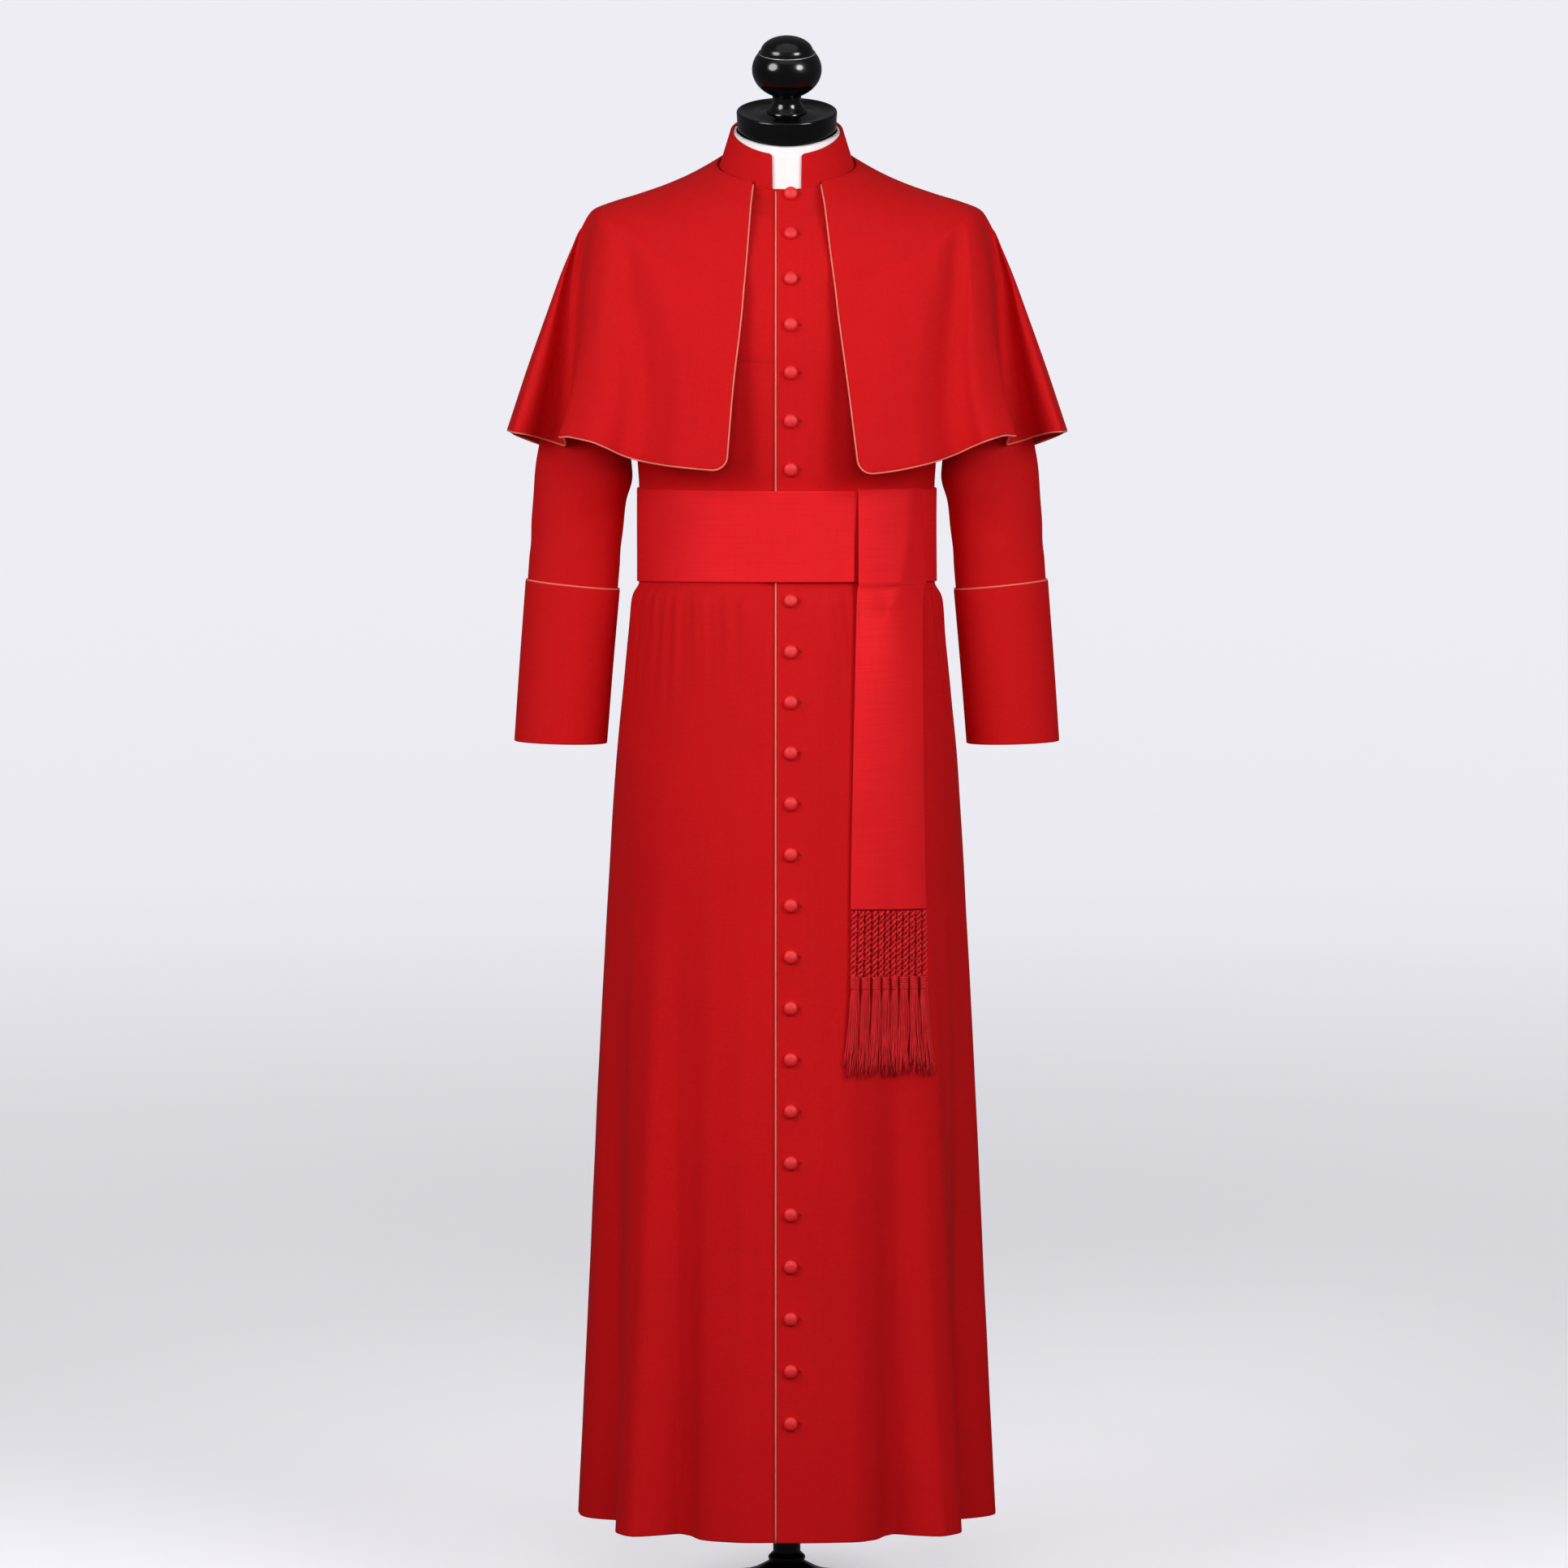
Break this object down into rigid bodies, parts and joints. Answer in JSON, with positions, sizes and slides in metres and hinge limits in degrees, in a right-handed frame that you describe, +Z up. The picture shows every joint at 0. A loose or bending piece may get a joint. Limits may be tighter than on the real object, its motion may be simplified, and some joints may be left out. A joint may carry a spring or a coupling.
{
  "type": "cassock on a dress form",
  "caption": "Long buttoned cassock with a piped shoulder cape, turned-back cuffs and a fringed sash, worn by a limbless dress form on a round stand.",
  "frame": {"origin": "on the floor, at the middle of the stand's underside", "axes": "+Z up, the front faces -Y, +X towards the wearer's left"},
  "size_m": [0.5864, 0.4141, 1.6999],
  "materials": {
    "wool": "matte scarlet worsted wool",
    "silk": "ribbed scarlet silk",
    "button": "cloth-covered buttons",
    "piping": "light red corded piping",
    "insert": "starched white linen",
    "lacquer": "gloss black lacquer",
    "linen": "linen-covered form"
  },
  "bodies": {
    "root": {"front_right": "wool", "front_left": "wool", "back_left": "wool", "back_right": "wool", "sleeve_left": "wool", "sleeve_right": "wool", "cuff_left": "wool", "cuff_right": "wool", "collar": "wool", "cape_left": "wool", "cape_right": "wool", "sash_band": "silk", "sash_tail": "silk", "sash_net": "silk", "sash_fringe": "silk", "button_01": "button", "button_02": "button", "button_03": "button", "button_04": "button", "button_05": "button", "button_06": "button", "button_07": "button", "button_08": "button", "button_09": "button", "button_10": "button", "button_11": "button", "button_12": "button", "button_13": "button", "button_14": "button", "button_15": "button", "button_16": "button", "button_17": "button", "button_18": "button", "button_19": "button", "button_20": "button", "button_21": "button", "button_22": "button", "button_23": "button", "button_24": "button", "piping_front": "piping", "piping_cape_left": "piping", "piping_cape_right": "piping", "piping_cuff_left": "piping", "piping_cuff_right": "piping", "collar_insert": "insert", "form_neck_block": "lacquer", "form_finial": "lacquer", "stand_pole": "lacquer", "stand_base": "lacquer", "form_body": "linen"}
  },
  "joints": []
}
